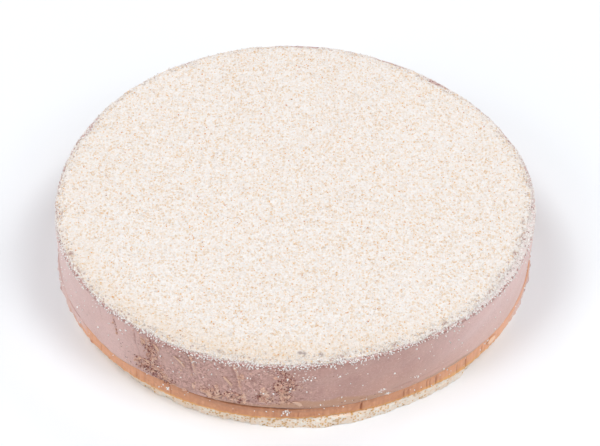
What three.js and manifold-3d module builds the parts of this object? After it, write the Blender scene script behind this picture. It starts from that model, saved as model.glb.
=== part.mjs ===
// Round frozen layer cake: porous sponge at the bottom, then caramel, a thick chocolate mousse
// and a layer of fine cream crumb that stops short of the rim.
// Millimetres, +Z up. The origin is the middle of the underside and the front is -Y.

import * as THREE from 'three';
import { mergeVertices } from 'three/addons/utils/BufferGeometryUtils.js';
import Module from 'manifold-3d';

const wasm = await Module();
wasm.setup();

// Driving dimensions
const cakeRadius = 130;
const spongeHeight = 7;
const caramelHeight = 8;
const mousseHeight = 32.25;
const crumbHeight = 1.6;

// Heights at which the layers meet
const caramelBase = spongeHeight;
const mousseBase = caramelBase + caramelHeight;
const crumbBase = mousseBase + mousseHeight;

// How finely the layers are faceted
const wallColumns = 120;
const crumbRings = 22;

// Angles are in degrees round the cake: 0 is the right side and -90 the front.
// Heights of shapes on a layer are above the underside of that layer.

// The ring mould left the outline slightly out of round: waves round the cake, size, turn
const outlineWaves = [
  { count: 2, size: 1.6, turn: 20 },
  { count: 3, size: 1.27, turn: -12 },
  { count: 4, size: 0.4, turn: -1.5 },
  { count: 6, size: 0.35, turn: 23 },
];

// The sponge stands back from the wall, swells out at the front and has a ragged edge
const spongeInset = 5;
const spongeSwelling = [
  { at: -75.5, wide: 23, out: 6.4 },
  { at: -115.5, wide: 18, out: 2.2 },
  { at: -47.5, wide: 9, out: 3.2 },
  { at: 90, wide: 60, out: 2 },
];
const spongeRaggedness = 0.45;
const spongeProfile = [
  { height: 0, inset: 0.8 },
  { height: 1.6, inset: 0 },
  { height: 3.6, inset: -0.2 },
  { height: 5.4, inset: 0 },
  { height: spongeHeight, inset: 0.3 },
];
const spongePores = { count: 36, small: 0.8, large: 1.5, fromEdge: 2 };

// The caramel bulges at its lower edge, and stands proud where it was squeezed out of the ring
const caramelUnevenness = 0.12;
const caramelProfile = [
  { height: 0, inset: 0.5 },
  { height: 1, inset: -0.25 },
  { height: 4, inset: 0 },
  { height: 7, inset: 0.1 },
  { height: caramelHeight, inset: 0.4 },
];
const caramelSqueezed = [
  { at: -171, wide: 8, out: 0.5 },
  { at: -9, wide: 12, out: 0.6 },
  { at: 38, wide: 9, out: 0.6 },
  { at: 118, wide: 14, out: 0.8 },
];

// Upright grooves that the ring tore in the caramel, and one blister near the right end
const frontGrooves = [-72.6, -61.7, -56.2, -52.7, -48.5, -41.1];
const otherGrooves = { count: 16, from: -20, to: 260 };
const grooveSize = { depth: 0.9, width: 1, height: 5.2, middle: 4 };
const blister = { at: -33.3, height: 5.2, long: 4, tall: 1.9, out: 1.1 };

// The mousse wall is straight with a soft rim, and a seam opens below it at the front
const mousseProfile = [
  { height: 0, inset: 0.4 },
  { height: 1.4, inset: 0.1, lean: 0 },
  { height: 6, inset: 0, lean: 6 },
  { height: 12, inset: 0, lean: 15 },
  { height: 18, inset: 0, lean: 23 },
  { height: 24, inset: 0, lean: 34 },
  { height: mousseHeight - 2, inset: 0 },
  { height: mousseHeight - 0.7, inset: 0.5 },
  { height: mousseHeight, inset: 1.6 },
];
const openSeam = [{ at: -99, wide: 12, out: 0.9 }];

// Shallow unevenness of the wall, turned by the lean of each height in the profile
const wallWaves = [
  { count: 9, size: 0.22, turn: 4 },
  { count: 17, size: 0.14, turn: 11 },
];

// Torn patches of the mousse wall: middle, half width in degrees, height, half height, pits
const pitSize = { small: 0.8, large: 1.5 };
const tornPatches = [
  { at: -122.5, wide: 4, height: 9, tall: 6.5, pits: 12 },
  { at: -119, wide: 2, height: 4, tall: 1.2, pits: 5 },
  { at: -107.5, wide: 2.2, height: 6, tall: 2.5, pits: 6 },
  { at: -102, wide: 2.4, height: 8, tall: 3, pits: 6 },
  { at: -91, wide: 3.2, height: 16, tall: 9, pits: 14 },
];

// Creases in the mousse wall and curled flakes on it: angle and height of both ends, width
const creaseDepth = 0.7;
const creases = [
  { top: [-133.4, 30.5], bottom: [-132.2, 22], width: 0.9 },
  { top: [-127.3, 26.5], bottom: [-125.8, 11], width: 0.6 },
  { top: [-112.4, 28], bottom: [-112, 16], width: 0.7 },
  { top: [-101.2, 28], bottom: [-100.8, 13], width: 0.6 },
];
const flakeThickness = 0.9;
const flakes = [
  { top: [-124.9, 28], bottom: [-124, 26], width: 1 },
  { top: [-121.4, 29], bottom: [-120.2, 25.5], width: 1.2 },
  { top: [-116.2, 26.5], bottom: [-113.7, 21], width: 1 },
  { top: [-104.4, 21.7], bottom: [-102.6, 16], width: 1 },
  { top: [-106.5, 4.5], bottom: [-105, 7.5], width: 1.4 },
];

// Loose crumbs stuck to the wall, mostly high up, and strewn over the bare margin
const wallCrumbs = { count: 32, small: 0.55, large: 0.95, belowRim: 2.4, reach: 25 };
const marginCrumbs = { step: 7.5, small: 0.5, large: 0.8, fromCrumb: 1.1, fromRim: 2 };

// The crumb keeps this far from the rim, and further in each bay
const crumbMargin = 1.5;
const crumbBays = [
  { at: 82, wide: 9, out: 1.5 },
  { at: 45, wide: 20, out: 0.6 },
  { at: 12, wide: 9, out: 1 },
  { at: -14, wide: 10, out: 3.6 },
  { at: -30, wide: 7, out: 2.6 },
  { at: -40, wide: 5, out: 1.8 },
  { at: -50, wide: 4.5, out: 1.8 },
  { at: -75, wide: 9, out: 1.8 },
  { at: -92, wide: 11, out: 2.2 },
  { at: -104, wide: 3.5, out: 1.8 },
  { at: -126, wide: 8, out: 0.8 },
  { at: -153, wide: 7, out: 0.5 },
  { at: 160, wide: 6, out: 1.5 },
];
const crumbRaggedness = [
  { count: 31, size: 0.3, turn: 0 },
  { count: 47, size: 0.25, turn: 3 },
];
const crumbBumps = 0.45;
const crumbEdgeHeight = 0.5;
const coarseCrumbs = { count: 22, small: 0.8, large: 1.4, spread: 0.95 };

const radians = THREE.MathUtils.degToRad;
const fullTurn = 2 * Math.PI;
const random = () => THREE.MathUtils.seededRandom();
const between = (low, high) => low + (high - low) * random();

function waves(list, angle) {
  return list.reduce((sum, wave) => sum + wave.size * Math.cos(wave.count * (angle - radians(wave.turn))), 0);
}

// Sum of rounded swellings, each at its own place round the cake
function swellings(list, angle) {
  return list.reduce((sum, { at, wide, out }) => {
    const apart = THREE.MathUtils.euclideanModulo(angle - radians(at) + Math.PI, fullTurn) - Math.PI;
    return sum + out * Math.exp(-((apart / radians(wide)) ** 2));
  }, 0);
}

function wallRadius(angle) {
  return cakeRadius + waves(outlineWaves, angle);
}

function crumbRadius(angle) {
  return wallRadius(angle) - crumbMargin - swellings(crumbBays, angle) + waves(crumbRaggedness, angle);
}

function polar(radius, angle, height) {
  return new THREE.Vector3(radius * Math.cos(angle), radius * Math.sin(angle), height);
}

// A point on the cake's wall, or a little outside it
function onWall(degrees, height, out = 0) {
  const angle = radians(degrees);
  return polar(wallRadius(angle) + out, angle, height);
}

// Points of one ring of the wall, at one height
function ring(radiusAt, height, columns = wallColumns) {
  return Array.from({ length: columns }, (_, column) => {
    const angle = (fullTurn * column) / columns;
    return polar(radiusAt(angle), angle, height);
  });
}

function geometryFrom(points, triangles) {
  const geometry = new THREE.BufferGeometry().setFromPoints(points);
  geometry.setIndex(triangles);
  return geometry;
}

// Joins two rings of the same number of points, given by the index of their first point
function bandTriangles(lower, upper, columns) {
  const triangles = [];
  for (let column = 0; column < columns; column += 1) {
    const next = (column + 1) % columns;
    triangles.push(lower + column, lower + next, upper + next);
    triangles.push(lower + column, upper + next, upper + column);
  }
  return triangles;
}

// Closes a ring with a fan to one point in its middle
function fanTriangles(first, centre, columns, faceUp) {
  const triangles = [];
  for (let column = 0; column < columns; column += 1) {
    const next = (column + 1) % columns;
    const edge = faceUp ? [first + column, first + next] : [first + next, first + column];
    triangles.push(...edge, centre);
  }
  return triangles;
}

// Joins a ring of 6 * (level - 1) points to the one outside it, which has 6 * level
function sixSidedBand(inner, outer, level) {
  const triangles = [];
  const innerCount = Math.max(1, 6 * (level - 1));
  const outerCount = 6 * level;
  for (let side = 0; side < 6; side += 1) {
    for (let step = 0; step < level; step += 1) {
      const outside = outer + side * level + step;
      const outsideNext = outer + ((side * level + step + 1) % outerCount);
      const inside = inner + ((side * (level - 1) + step) % innerCount);
      triangles.push(outside, outsideNext, inside);
      if (step < level - 1) {
        const insideNext = inner + ((side * (level - 1) + step + 1) % innerCount);
        triangles.push(outsideNext, insideNext, inside);
      }
    }
  }
  return triangles;
}

// A layer with flat faces: one ring for each height of its profile, closed by two fans
function flatLayer(profile, radiusAt) {
  const columns = wallColumns;
  const rings = profile.map((step) => ring((angle) => radiusAt(angle, step), step.height));
  const points = rings.flat();
  const triangles = [];
  for (let level = 1; level < rings.length; level += 1) {
    triangles.push(...bandTriangles((level - 1) * columns, level * columns, columns));
  }
  points.push(new THREE.Vector3(0, 0, profile[0].height));
  triangles.push(...fanTriangles(0, points.length - 1, columns, false));
  points.push(new THREE.Vector3(0, 0, profile.at(-1).height));
  triangles.push(...fanTriangles((rings.length - 1) * columns, points.length - 1, columns, true));
  return geometryFrom(points, triangles);
}

// A bumpy layer on a flat underside: rings of 6, 12, 18 ... points spread evenly over the top
function bumpyLayer(ringCount, radiusAt, heightAt) {
  const points = [new THREE.Vector3(0, 0, heightAt(0))];
  const firstOf = [0];
  const triangles = [];
  for (let level = 1; level <= ringCount; level += 1) {
    const share = level / ringCount;
    const levelRing = ring((angle) => radiusAt(angle) * share, 0, 6 * level);
    levelRing.forEach((point) => point.setZ(heightAt(level)));
    firstOf.push(points.length);
    points.push(...levelRing);
    triangles.push(...sixSidedBand(firstOf[level - 1], firstOf[level], level));
  }
  const columns = 6 * ringCount;
  const underside = points.length;
  points.push(...ring(radiusAt, 0, columns));
  triangles.push(...bandTriangles(underside, firstOf[ringCount], columns));
  points.push(new THREE.Vector3(0, 0, 0));
  triangles.push(...fanTriangles(underside, points.length - 1, columns, false));
  return geometryFrom(points, triangles);
}

function toSolid(geometry) {
  geometry.deleteAttribute('normal');
  geometry.deleteAttribute('uv');
  const merged = mergeVertices(geometry);
  const vertProperties = merged.attributes.position.array;
  const triVerts = Uint32Array.from(merged.index.array);
  return new wasm.Manifold(new wasm.Mesh({ numProp: 3, vertProperties, triVerts }));
}

function toGeometry(solid) {
  const { vertProperties, triVerts } = solid.getMesh();
  const geometry = new THREE.BufferGeometry();
  geometry.setAttribute('position', new THREE.BufferAttribute(vertProperties, 3));
  geometry.setIndex(new THREE.BufferAttribute(triVerts, 1));
  return geometry;
}

function fuse(solid, pieces) {
  return pieces.reduce((whole, piece) => whole.add(toSolid(piece)), solid);
}

function carve(solid, pieces) {
  return pieces.reduce((whole, piece) => whole.subtract(toSolid(piece)), solid);
}

// A crumb or pit: a lump of 20 faces, turned and squashed at random
function lump(centre, radius) {
  const geometry = new THREE.IcosahedronGeometry(radius);
  geometry.scale(between(0.8, 1.2), between(0.8, 1.2), between(0.7, 1));
  geometry.rotateX(between(0, Math.PI));
  geometry.rotateZ(between(0, Math.PI));
  geometry.translate(centre.x, centre.y, centre.z);
  return geometry;
}

// A pointed bar that lies half sunk in the wall between two places on it
function barOnWall({ top, bottom, width }, thickness) {
  const start = onWall(...top);
  const end = onWall(...bottom);
  const middle = onWall((top[0] + bottom[0]) / 2, (top[1] + bottom[1]) / 2);
  const along = start.clone().sub(end);
  const bar = new THREE.OctahedronGeometry(1);
  bar.scale(thickness, width, along.length() / 2);
  along.normalize();
  const sideways = along.clone().cross(middle.clone().setZ(0)).normalize();
  const outwards = sideways.clone().cross(along);
  bar.applyMatrix4(new THREE.Matrix4().makeBasis(outwards, sideways, along));
  bar.translate(middle.x, middle.y, middle.z);
  return bar;
}

function poresInSponge(edge) {
  const { count, small, large, fromEdge } = spongePores;
  return Array.from({ length: count }, (_, pore) => {
    const angle = ((pore + between(0.1, 0.9)) * fullTurn) / count;
    const radius = between(small, large);
    const height = between(fromEdge, spongeHeight - fromEdge);
    return lump(polar(edge(angle) + radius * 0.3, angle, height), radius);
  });
}

// Porous sponge with a ragged edge
function spongeBase() {
  THREE.MathUtils.seededRandom(11);
  const edge = (angle) => wallRadius(angle) - spongeInset + swellings(spongeSwelling, angle);
  const ragged = (angle, { inset }) => edge(angle) - inset + between(-spongeRaggedness, spongeRaggedness);
  return toGeometry(carve(toSolid(flatLayer(spongeProfile, ragged)), poresInSponge(edge)));
}

function groovesInCaramel() {
  const { count, from, to } = otherGrooves;
  const spacing = (to - from) / count;
  const others = Array.from({ length: count }, (_, groove) => from + (groove + between(0.2, 0.8)) * spacing);
  return [...frontGrooves, ...others].map((degrees) => {
    const { depth, width, height, middle } = grooveSize;
    const out = swellings(caramelSqueezed, radians(degrees));
    const centre = onWall(degrees, middle + between(-0.6, 0.6), out);
    const groove = new THREE.BoxGeometry(2 * depth, width * between(0.6, 1.2), height * between(0.6, 1));
    groove.rotateZ(radians(degrees));
    groove.translate(centre.x, centre.y, centre.z);
    return groove;
  });
}

function blisterOnCaramel() {
  const centre = onWall(blister.at, blister.height);
  const bubble = new THREE.IcosahedronGeometry(1, 1);
  bubble.scale(blister.out, blister.long, blister.tall);
  bubble.rotateZ(radians(blister.at));
  bubble.translate(centre.x, centre.y, centre.z);
  return bubble;
}

function caramel() {
  THREE.MathUtils.seededRandom(23);
  const uneven = (angle, { inset }) =>
    wallRadius(angle) - inset + swellings(caramelSqueezed, angle) +
    between(-caramelUnevenness, caramelUnevenness);
  const layer = toSolid(flatLayer(caramelProfile, uneven));
  return toGeometry(fuse(carve(layer, groovesInCaramel()), [blisterOnCaramel()]));
}

function pitsInMousse() {
  return tornPatches.flatMap(({ at, wide, height, tall, pits }) =>
    Array.from({ length: pits }, () => {
      const radius = between(pitSize.small, pitSize.large);
      const degrees = at + between(-wide, wide);
      return lump(onWall(degrees, height + between(-tall, tall), radius * 0.35), radius);
    }));
}

function crumbsOnWall() {
  const { count, small, large, belowRim, reach } = wallCrumbs;
  return Array.from({ length: count }, (_, crumb) => {
    const degrees = ((crumb + between(0.1, 0.9)) * 360) / count;
    const height = mousseHeight - belowRim - reach * random() ** 3;
    const radius = between(small, large);
    return lump(onWall(degrees, height, radius * 0.2), radius);
  });
}

// Crumbs on the bare margin, wherever it is wide enough to carry them
function crumbsOnMargin() {
  const { step, small, large, fromCrumb, fromRim } = marginCrumbs;
  const crumbs = [];
  for (let degrees = -180; degrees < 180; degrees += step) {
    const angle = radians(degrees + between(-2, 2));
    const radius = between(small, large);
    const inner = crumbRadius(angle) + fromCrumb + 1.3 * radius;
    const outer = wallRadius(angle) - fromRim;
    if (outer > inner) {
      crumbs.push(lump(polar(between(inner, outer), angle, mousseHeight + 0.1), radius));
    }
  }
  return crumbs;
}

// Chocolate mousse with torn patches, creases, flakes and loose crumbs
function mousse() {
  THREE.MathUtils.seededRandom(37);
  const uneven = (angle, { height, inset, lean }) => {
    const relief = lean === undefined ? 0 : waves(wallWaves, angle + radians(lean));
    const seam = height === 0 ? swellings(openSeam, angle) : 0;
    return wallRadius(angle) - inset + relief - seam;
  };
  const layer = toSolid(flatLayer(mousseProfile, uneven));
  const torn = carve(layer, [...pitsInMousse(), ...creases.map((crease) => barOnWall(crease, creaseDepth))]);
  const curls = flakes.map((flake) => barOnWall(flake, flakeThickness));
  return toGeometry(fuse(torn, [...curls, ...crumbsOnWall(), ...crumbsOnMargin()]));
}

// Crumbs coarser than the rest, spread by the golden angle and then moved a little
function crumbsOnTopping() {
  const goldenAngle = Math.PI * (3 - Math.sqrt(5));
  const { count, small, large, spread } = coarseCrumbs;
  return Array.from({ length: count }, (_, crumb) => {
    const angle = crumb * goldenAngle + between(-0.3, 0.3);
    const share = Math.sqrt((crumb + between(0.1, 0.9)) / count) * spread;
    return lump(polar(crumbRadius(angle) * share, angle, crumbHeight - 0.1), between(small, large));
  });
}

// Cream crumb in small bumps, thinner at its ragged edge
function crumbTopping() {
  THREE.MathUtils.seededRandom(53);
  const heightAt = (level) =>
    (level === crumbRings ? crumbEdgeHeight : crumbHeight + between(-crumbBumps, crumbBumps));
  const layer = bumpyLayer(crumbRings, crumbRadius, heightAt);
  return toGeometry(fuse(toSolid(layer), crumbsOnTopping()));
}

function layerMesh(name, geometry, height, color, roughness) {
  const mesh = new THREE.Mesh(geometry, new THREE.MeshStandardMaterial({ color, roughness, metalness: 0 }));
  mesh.name = name;
  mesh.position.z = height;
  return mesh;
}

const cake = new THREE.Group();
cake.add(
  layerMesh('sponge_base', spongeBase(), 0, 0xddc7ab, 0.95),
  layerMesh('caramel', caramel(), caramelBase, 0xcb9475, 0.5),
  layerMesh('mousse', mousse(), mousseBase, 0xbf9d95, 0.7),
  layerMesh('crumb_topping', crumbTopping(), crumbBase, 0xf1e6db, 0.95),
);

export default cake;
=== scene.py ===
# Round frozen cake on a pale table: sponge, caramel, chocolate mousse and a fine cream crumb.
# Lengths are in millimetres, and in metres for the table and lamps. Angles in the tables are degrees
# round the cake: 0 is its right side and -90 its front. A row of soft noise holds size, depth and seed.
import math
from itertools import product

import bpy
import numpy as np
from mathutils import Matrix, Vector


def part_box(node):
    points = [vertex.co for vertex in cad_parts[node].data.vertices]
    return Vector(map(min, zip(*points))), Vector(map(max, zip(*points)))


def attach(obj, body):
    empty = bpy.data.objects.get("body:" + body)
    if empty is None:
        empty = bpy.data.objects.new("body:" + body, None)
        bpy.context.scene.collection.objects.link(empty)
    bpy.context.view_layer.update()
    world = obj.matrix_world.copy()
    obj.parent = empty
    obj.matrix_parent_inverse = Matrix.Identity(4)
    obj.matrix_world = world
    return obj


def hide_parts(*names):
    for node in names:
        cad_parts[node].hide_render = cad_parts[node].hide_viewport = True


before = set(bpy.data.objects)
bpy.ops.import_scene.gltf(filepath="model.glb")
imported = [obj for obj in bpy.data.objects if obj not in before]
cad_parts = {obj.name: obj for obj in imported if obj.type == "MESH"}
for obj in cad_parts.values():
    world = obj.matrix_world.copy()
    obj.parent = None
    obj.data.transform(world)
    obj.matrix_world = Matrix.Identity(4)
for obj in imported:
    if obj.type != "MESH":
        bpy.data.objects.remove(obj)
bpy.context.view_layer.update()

mm = 0.001  # metres in a millimetre
fullTurn = 2 * math.pi

# Where the layers meet, taken from the frame
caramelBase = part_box("caramel")[0].z / mm
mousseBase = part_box("mousse")[0].z / mm
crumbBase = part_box("crumb_topping")[0].z / mm

# The ring mould left the outline slightly out of round
outline = {
    "radius": 130,
    "waves": [(2, 1.6, 20), (3, 1.27, -12), (4, 0.4, -1.5), (6, 0.35, 23)],  # count, size, turn
    "crumbMargin": 1,
    "crumbBays": [  # middle, half width in degrees, how far the crumb stands back
        (88, 9, 2), (66, 9, 1.6), (50, 4.5, 2.6), (34.5, 3, 1.4), (23, 6, 1.6), (11, 4, 1.4), (1, 6, 0.8),
        (-13, 9, 3.6), (-28, 8, 2.6), (-41, 5, 0.8), (-51, 4.5, 0.5), (-75, 9, 0.4), (-92, 11, 0.5),
        (-104, 3.5, 0.4), (-126, 8, 0.2), (-153, 7, 0.3), (175, 5, 0.7), (159, 5, 2.6), (121, 3, 1.2),
    ],
    "crumbWaves": [(31, 0.3, 0), (47, 0.25, 3)],
    "seamWobble": [(24, 0.3, 0), (7, 0.18, 1), (2.5, 0.15, 2)],
    "seams": {  # over and under the caramel: seed, and rows of middle, half width and rise
        "upper": (130, [(-134, 5, -1.3), (-118.5, 6, 2), (-76, 15.5, -1.3), (-38, 7, 1.1)]),
        "lower": (134, [(-60, 14, -0.8), (-45.5, 6.5, -1.6)]),
    },
    "finestAt": -100,  # where the columns of the layers stand closest together
}


def wrapped(angle):  # the same direction, from minus half a turn to half a turn
    return (angle + math.pi) % fullTurn - math.pi


def waves(rows, angle):
    return sum(size * np.cos(count * (angle - math.radians(turn))) for count, size, turn in rows)


def bell(angle, at, wide, power=2):  # 1 at a place on the wall, and 0 well past its half width
    return np.exp(-(wrapped(angle - math.radians(at)) / math.radians(wide)) ** power)


def swells(rows, angle):  # rows of place, half width and size, added up
    return sum(size * bell(angle, at, wide) for at, wide, size in rows)


def patches(rows, angle):  # the same, kept between 0 and 1
    return np.clip(swells(rows, angle), 0, 1)


def wallRadius(angle):
    return outline["radius"] + waves(outline["waves"], angle)


def crumbRadius(angle):
    back = outline["crumbMargin"] + swells(outline["crumbBays"], angle)
    return wallRadius(angle) - back + waves(outline["crumbWaves"], angle)


def around(radius, angle, height):  # a point or points from radius, angle and height
    return np.stack([radius * np.cos(angle), radius * np.sin(angle), height + 0 * radius], axis=-1)


def polar(points):  # angle and radius of points
    return np.arctan2(points[..., 1], points[..., 0]), np.hypot(points[..., 0], points[..., 1])


noiseCells = 64


def softNoise(points, size, seed):  # smooth bumps about one size across, from -1 to 1
    flat = points.reshape(-1, 3) / size
    table = np.random.default_rng(seed).uniform(-1, 1, (noiseCells,) * 3)
    cells = np.floor(flat).astype(int)
    parts = flat - cells
    parts = parts * parts * (3 - 2 * parts)
    total = np.zeros(len(flat))
    for corner in product((0, 1), repeat=3):
        share = np.prod(np.where(corner, parts, 1 - parts), axis=1)
        x, y, z = ((cells + corner) % noiseCells).T
        total += share * table[x, y, z]
    return total.reshape(points.shape[:-1])


def nearestSpot(points, size, seed):  # distance to the nearest of scattered spots, and its own chance
    flat = points.reshape(-1, 3)
    table = np.random.default_rng(seed).random((noiseCells,) * 3 + (4,))
    cells = np.floor(flat / size).astype(int)
    nearest = np.full(len(flat), np.inf)
    chance = np.zeros(len(flat))
    for step in product((-1, 0, 1), repeat=3):
        there = cells + step
        x, y, z = (there % noiseCells).T
        spot = table[x, y, z]
        distance = np.linalg.norm((there + spot[:, :3]) * size - flat, axis=1)
        closer = distance < nearest
        nearest[closer] = distance[closer]
        chance[closer] = spot[closer, 3]
    return nearest.reshape(points.shape[:-1]), chance.reshape(points.shape[:-1])


def bumps(points, rows, seed=0):  # soft noise of several sizes, added up
    return sum(depth * softNoise(points, size, seed + own) for size, depth, own in rows)


def fade(value, low, high):  # 0 below low, 1 above high and smooth in between
    part = np.clip((value - low) / (high - low), 0, 1)
    return part * part * (3 - 2 * part)


def acrossWall(angle, at):  # millimetres along the wall from a place given in degrees
    return wrapped(angle - math.radians(at)) * outline["radius"]


def apart(angle, rise, at, middle, wide, tall):  # distance from a mark on the wall, 1 at its half size
    return np.hypot(acrossWall(angle, at) / wide, (rise - middle) / tall)


def strokeDistance(angle, rise, ends, wander=0):  # distance to a stroke on the wall, and the share along it
    top, topHeight, bottom, bottomHeight = ends
    along = np.array([math.radians(bottom - top) * outline["radius"], bottomHeight - topHeight])
    offset = np.stack([acrossWall(angle, top) + wander, rise - topHeight], axis=-1)
    share = np.clip((offset @ along) / (along @ along), 0, 1)
    return np.linalg.norm(offset - share[..., None] * along, axis=-1), share


def seamWander(angle, seam):  # how far a seam lies above or below its level
    seed, rows = outline["seams"][seam]
    place = around(np.full_like(angle, outline["radius"]), angle, 0)
    return bumps(place, outline["seamWobble"], seed) + swells(rows, angle)


def wallGrid(layer, rows):  # angles and the rows' own numbers; columns stand closer together at the front
    even = np.linspace(0, fullTurn, layer["columns"], endpoint=False)
    return np.meshgrid(even - layer["pull"] * np.sin(even - math.radians(outline["finestAt"])), rows)


# Meshes

def meshPiece(name, node, slot, points, faces, spots, material, values, smooth=True):
    mesh = bpy.data.meshes.new(name)
    mesh.vertices.add(len(points))
    mesh.vertices.foreach_set("co", (points * mm).astype(np.float32).ravel())
    mesh.loops.add(faces.size)
    mesh.loops.foreach_set("vertex_index", faces.astype(np.int32).ravel())
    mesh.polygons.add(len(faces))
    mesh.polygons.foreach_set("loop_start", np.arange(0, faces.size, 3, dtype=np.int32))
    mesh.update(calc_edges=True)
    mesh.polygons.foreach_set("use_smooth", np.full(len(faces), smooth))
    layer = mesh.uv_layers.new(name="OFBake")
    layer.uv.foreach_set("vector", spots.astype(np.float32).ravel())
    for key, numbers in values.items():
        attribute = mesh.attributes.new(key, "FLOAT", "POINT")
        attribute.data.foreach_set("value", numbers.astype(np.float32).ravel())
    mesh.materials.append(material)
    piece = bpy.data.objects.new(name, mesh)
    bpy.context.scene.collection.objects.link(piece)
    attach(piece, "root")
    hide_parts(node)
    print(name.replace("_", " "), "made,", len(faces), "triangles")


def fourSided(a, b, c, d):  # two triangles for each four-sided face
    return np.stack([a, b, c, a, c, d], axis=-1).reshape(-1, 3)


sheetStrips, sheetGap = 4, 0.01  # a wall is unrolled in four strips, one above the other


def layerPiece(layer, angle, radii, heights, material, masks):  # closed, with flat ends, from the bottom up
    rows, columns = radii.shape
    ends = [[0, 0, heights[0].mean()], [0, 0, heights[-1].mean()]]
    points = np.concatenate([around(radii, angle, heights).reshape(-1, 3), ends])
    here = np.arange(rows * columns).reshape(rows, columns)
    after = np.roll(here, -1, axis=1)
    walls = fourSided(here[:-1], after[:-1], after[1:], here[1:])
    bottom = np.stack([after[0], here[0], np.full(columns, rows * columns)], axis=-1)
    top = np.stack([here[-1], after[-1], np.full(columns, rows * columns + 1)], axis=-1)
    values = {key: np.append(mask, [0, 0]) for key, mask in masks.items()}

    # places of the faces on the flat sheet: the wall in strips, and a disc for each end
    sheet = layer["sheet"]
    perStrip = columns // sheetStrips
    strip, left = np.divmod(np.arange(columns), perStrip)
    length = np.hypot(np.diff(radii.mean(axis=1)), np.diff(heights.mean(axis=1)))
    rise = np.concatenate([[0], np.cumsum(length)]) / length.sum()
    level = (strip + sheetGap + (1 - 2 * sheetGap) * rise[:, None]) * sheet["wall"]
    left = np.broadcast_to(left / perStrip, level[1:].shape)
    right = left + 1 / perStrip
    across = fourSided(left, right, right, left)
    up = fourSided(level[:-1], level[:-1], level[1:], level[1:])
    spots = [np.stack([across, up], axis=-1).reshape(-1, 2)]
    here, after = angle[0], np.roll(angle[0], -1)
    for (x, y, size), turns in ((sheet["bottom"], (after, here)), (sheet["top"], (here, after))):
        corners = [np.stack([x + size * np.cos(turn), y + size * np.sin(turn)], axis=-1) for turn in turns]
        spots.append(np.stack(corners + [np.full((columns, 2), (x, y))], axis=1).reshape(-1, 2))
    faces, spots = np.concatenate([walls, bottom, top]), np.concatenate(spots)
    meshPiece(*layer["piece"], points, faces, spots, material, values)


grainShape = {  # an eight-sided grain, and its places on the sheet
    "corners": np.array([[1, 0, 0], [0, 1, 0], [-1, 0, 0], [0, -1, 0], [0, 0, 1], [0, 0, -1]], float),
    "faces": np.array([[0, 1, 4], [1, 2, 4], [2, 3, 4], [3, 0, 4],
                       [1, 0, 5], [2, 1, 5], [3, 2, 5], [0, 3, 5]]),
    "flat": np.array([[0.9, 0.5], [0.5, 0.9], [0.1, 0.5], [0.5, 0.1], [0.5, 0.5], [0.5, 0.5]]),
    "chips": 0.25, "roughness": 0.9,
}


def grainPiece(name, node, slot, places, sizes, colours, draw, squash=0.35):  # each grain is turned its way
    count = len(places)
    turns, _ = np.linalg.qr(draw.normal(size=(count, 3, 3)))
    turns *= np.sign(np.linalg.det(turns))[:, None, None]
    stretch = 1 + squash * draw.uniform(-1, 1, (count, 1, 3))
    chips = 1 + grainShape["chips"] * draw.uniform(-1, 1, (count, 6, 1))
    corners = grainShape["corners"] * chips * stretch * sizes[:, None, None]
    points = (places[:, None] + np.einsum("nij,nkj->nki", turns, corners)).reshape(-1, 3)
    faces = (grainShape["faces"] + 6 * np.arange(count)[:, None, None]).reshape(-1, 3)
    across = math.ceil(math.sqrt(count))
    cell = np.stack([np.arange(count) % across, np.arange(count) // across], axis=-1)
    spots = (cell[:, None] + grainShape["flat"][grainShape["faces"].ravel()]) / across
    tone = np.repeat(draw.random(count), 6)
    material = grainMaterial(name.replace("_", " "), *colours)
    meshPiece(name, node, slot, points, faces, spots.reshape(-1, 2), material, {"tone": tone}, smooth=False)


# Materials

def tint(colour):  # a colour as seen on screen, turned into light; a socket stays as it is
    if isinstance(colour, bpy.types.NodeSocket):
        return colour
    parts = np.array(colour) / 255
    light = np.where(parts <= 0.04045, parts / 12.92, ((parts + 0.055) / 1.055) ** 2.4)
    return (*light.tolist(), 1.0)


def addNode(tree, kind, links=None, **settings):
    node = tree.nodes.new(kind)
    for key, value in settings.items():
        setattr(node, key, value)
    for key, value in (links or {}).items():
        if isinstance(value, bpy.types.NodeSocket):
            tree.links.new(value, node.inputs[key])
        else:
            node.inputs[key].default_value = value
    return node


def calculate(tree, operation, first, second):
    return addNode(tree, "ShaderNodeMath", {0: first, 1: second}, operation=operation).outputs[0]


def times(tree, first, second):
    return calculate(tree, "MULTIPLY", first, second)


def mixColours(tree, share, first, second):
    links = {0: share, 6: tint(first), 7: tint(second)}
    return addNode(tree, "ShaderNodeMix", links, data_type="RGBA").outputs[2]


def span(tree, value, low, high, start=0.0, end=1.0):  # value from low to high, brought to start to end
    links = {"Value": value, "From Min": low, "From Max": high, "To Min": start, "To Max": end}
    return addNode(tree, "ShaderNodeMapRange", links, interpolation_type="SMOOTHSTEP").outputs["Result"]


def fromMesh(tree, name):
    return addNode(tree, "ShaderNodeAttribute", attribute_name=name).outputs["Fac"]


def layOver(tree, colour, layer, masks):  # lays a layer's overlays, in their order, over a colour
    for mask, strength, shade in layer["overlays"]:
        mask = masks[mask] if mask in masks else fromMesh(tree, mask)
        colour = mixColours(tree, times(tree, mask, strength), colour, layer[shade])
    return colour


def placeInMillimetres(tree):
    place = addNode(tree, "ShaderNodeTexCoord").outputs["Object"]
    return addNode(tree, "ShaderNodeVectorMath", {0: place, "Scale": 1 / mm}, operation="SCALE").outputs[0]


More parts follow.
